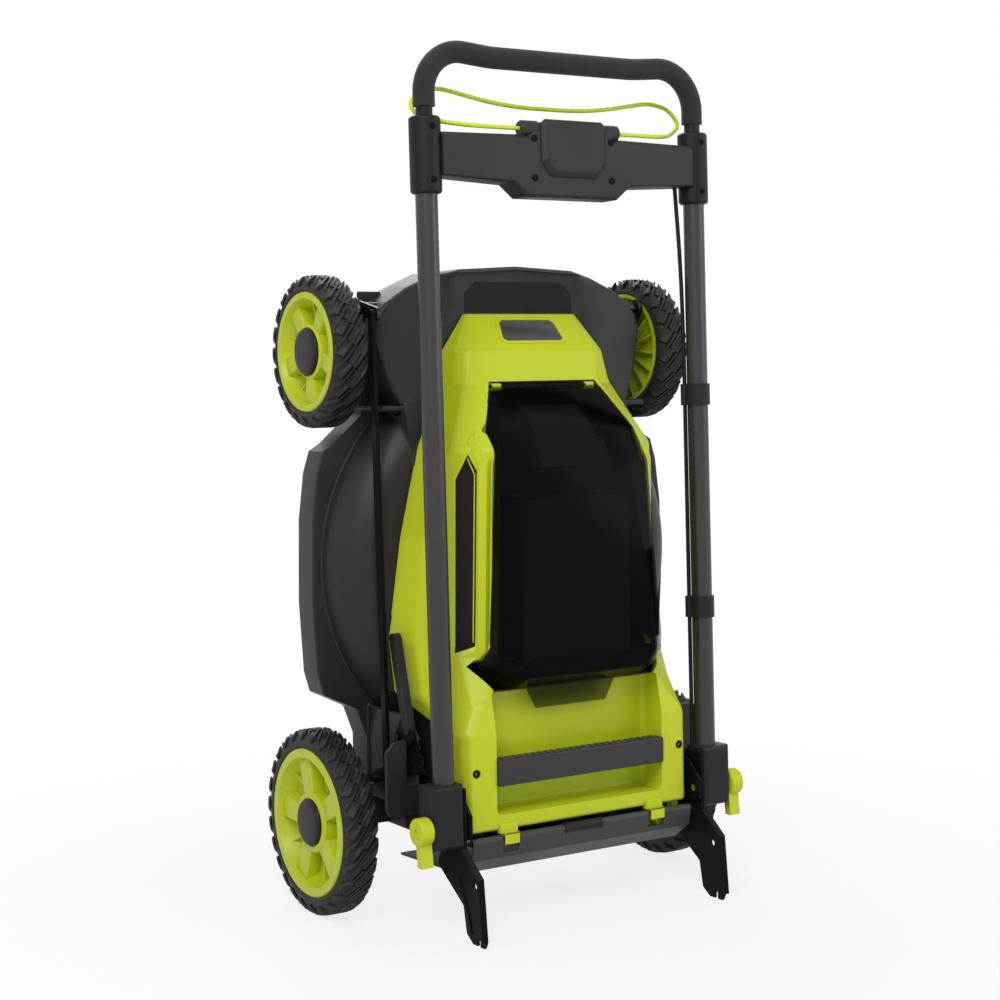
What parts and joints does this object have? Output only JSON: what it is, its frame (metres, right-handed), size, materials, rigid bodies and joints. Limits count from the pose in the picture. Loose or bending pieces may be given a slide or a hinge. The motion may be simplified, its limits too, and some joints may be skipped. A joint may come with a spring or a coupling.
{
  "type": "push lawn mower",
  "caption": "Battery push mower stood upright for storage: folded tubular handle with bail and control box, moulded deck, hinged battery lid, rear flap and spoked wheels on height cranks.",
  "frame": {"origin": "on the floor, midway between the sides and midway between the stand legs' fronts and the mowing ground", "axes": "+X towards the mower's right, +Y from the motor cover towards the mowing ground, +Z from the floor towards the nose and the folded handlebar"},
  "size_m": [0.544, 0.351, 1.0166],
  "materials": {
    "deck_black": "satin moulded",
    "lime_plastic": "gloss moulded",
    "lime_rim": "satin moulded",
    "lime_lever": "satin moulded",
    "lime_wire": "powder coat",
    "grille_black": "matte",
    "badge_grey": "gloss, bare",
    "grab_grey": "ribbed",
    "screw_steel": "zinc plated",
    "pin_steel": "bright",
    "smoke_lid": "smoked, translucent",
    "battery_black": "matte",
    "motor_metal": "cast",
    "blade_steel": "powder coat",
    "holder_alloy": "cast",
    "flap_grey": "satin moulded",
    "plated_steel": "zinc plated",
    "leg_black": "powder coat",
    "knuckle_black": "satin moulded",
    "tube_grey": "powder coat",
    "housing_grey": "fine grain",
    "grip_foam": "foam sleeve",
    "cable_black": "smooth",
    "tyre_black": "block tread"
  },
  "bodies": {
    "deck": {"deck_shell": "deck_black", "motor_cover": "lime_plastic", "vent_grille_left": "grille_black", "vent_grille_right": "grille_black", "badge_plate": "badge_grey", "grab_bar": "grab_grey", "cover_screws": "screw_steel", "lid_hinge_pin": "pin_steel", "battery_tray": "battery_black", "battery_pack": "battery_black", "motor_can": "motor_metal", "flap_hinge_rod": "pin_steel", "pivot_bracket_left": "plated_steel", "pivot_bracket_right": "plated_steel", "height_quadrant": "plated_steel", "quadrant_bolts": "screw_steel"},
    "blade_set": {"rotor_shaft": "pin_steel", "blade_holder": "holder_alloy", "blade": "blade_steel", "blade_nut": "pin_steel"},
    "lid": {"battery_lid": "smoke_lid"},
    "flap": {"rear_flap": "flap_grey"},
    "rear_axle_set": {"rear_axle": "plated_steel", "height_lever": "leg_black", "lever_grip": "knuckle_black"},
    "front_axle_set": {"front_axle": "plated_steel"},
    "link": {"link_rod": "leg_black"},
    "handle": {"handle_tube_left": "tube_grey", "handle_tube_right": "tube_grey", "knuckle_cover_left": "knuckle_black", "knuckle_cover_right": "knuckle_black", "stand_leg_left": "leg_black", "stand_leg_right": "leg_black", "handle_collar_left": "knuckle_black", "handle_collar_right": "knuckle_black", "control_housing": "housing_grey", "control_cover": "housing_grey", "upper_handlebar": "tube_grey", "handlebar_grip": "grip_foam", "control_cable": "cable_black", "cable_clips": "knuckle_black", "handle_screws": "screw_steel", "pivot_bolts": "pin_steel"},
    "bail_lever": {"bail": "lime_wire"},
    "button": {"start_button": "housing_grey"},
    "clamp_left": {"clamp_lever_left": "lime_lever"},
    "clamp_right": {"clamp_lever_right": "lime_lever"},
    "wheel_front_left": {"tyre_front_left": "tyre_black", "rim_front_left": "lime_rim", "hub_cap_front_left": "knuckle_black"},
    "wheel_front_right": {"tyre_front_right": "tyre_black", "rim_front_right": "lime_rim", "hub_cap_front_right": "knuckle_black"},
    "wheel_rear_left": {"tyre_rear_left": "tyre_black", "rim_rear_left": "lime_rim", "hub_cap_rear_left": "knuckle_black"},
    "wheel_rear_right": {"tyre_rear_right": "tyre_black", "rim_rear_right": "lime_rim", "hub_cap_rear_right": "knuckle_black"}
  },
  "joints": [
    {"name": "handle_fold", "type": "hinge", "parent": "deck", "child": "handle", "pos_m": [0, -0.1233, 0.131], "axis": [1, 0, 0], "range_deg": [0, 130]},
    {"name": "bail_squeeze", "type": "hinge", "parent": "handle", "child": "bail_lever", "pos_m": [0, -0.10259, 0.92193], "axis": [1, 0, 0], "range_deg": [0, 20], "stiffness_Nm_per_rad": 0.3, "springref_deg": -22.92},
    {"name": "start_press", "type": "slide", "parent": "handle", "child": "button", "axis": [0, -0.9996, 0.0276], "range_m": [0, 0.003], "stiffness_N_per_m": 400, "springref_m": -0.002},
    {"name": "clamp_left_turn", "type": "hinge", "parent": "handle", "child": "clamp_left", "pos_m": [-0.2225, -0.1233, 0.131], "axis": [-1, 0, 0], "range_deg": [0, 100]},
    {"name": "clamp_right_turn", "type": "hinge", "parent": "handle", "child": "clamp_right", "pos_m": [0.2225, -0.1233, 0.131], "axis": [-1, 0, 0], "range_deg": [0, 100]},
    {"name": "lid_open", "type": "hinge", "parent": "deck", "child": "lid", "pos_m": [0, -0.044, 0.627], "axis": [-1, 0, 0], "range_deg": [0, 95]},
    {"name": "flap_open", "type": "hinge", "parent": "deck", "child": "flap", "pos_m": [0, -0.122, 0.107], "axis": [-1, 0, 0], "range_deg": [0, 75], "stiffness_Nm_per_rad": 0.5, "springref_deg": -57.3},
    {"name": "blade_spin", "type": "hinge", "parent": "deck", "child": "blade_set", "pos_m": [0, 0.086, 0.415], "axis": [0, 1, 0], "continuous": true},
    {"name": "height_adjust", "type": "hinge", "parent": "deck", "child": "rear_axle_set", "pos_m": [0, 0.02538, 0.16291], "axis": [1, 0, 0], "range_deg": [-4, 22]},
    {"name": "front_height", "type": "hinge", "parent": "deck", "child": "front_axle_set", "pos_m": [0, 0.04588, 0.72191], "axis": [1, 0, 0], "range_deg": [-4, 22]},
    {"name": "link_swing", "type": "hinge", "parent": "rear_axle_set", "child": "link", "pos_m": [-0.2055, -0.0157, 0.15418], "axis": [1, 0, 0], "range_deg": [-22, 4]},
    {"name": "roll_front_left", "type": "hinge", "parent": "front_axle_set", "child": "wheel_front_left", "pos_m": [-0.233, 0.085, 0.67], "axis": [1, 0, 0], "continuous": true},
    {"name": "roll_front_right", "type": "hinge", "parent": "front_axle_set", "child": "wheel_front_right", "pos_m": [0.233, 0.085, 0.67], "axis": [1, 0, 0], "continuous": true},
    {"name": "roll_rear_left", "type": "hinge", "parent": "rear_axle_set", "child": "wheel_rear_left", "pos_m": [-0.252, 0.0645, 0.111], "axis": [1, 0, 0], "continuous": true},
    {"name": "roll_rear_right", "type": "hinge", "parent": "rear_axle_set", "child": "wheel_rear_right", "pos_m": [0.252, 0.0645, 0.111], "axis": [1, 0, 0], "continuous": true}
  ],
  "couplings": [
    {"joint": "front_height", "follows": "height_adjust", "ratio": 1},
    {"joint": "link_swing", "follows": "height_adjust", "ratio": -1}
  ]
}
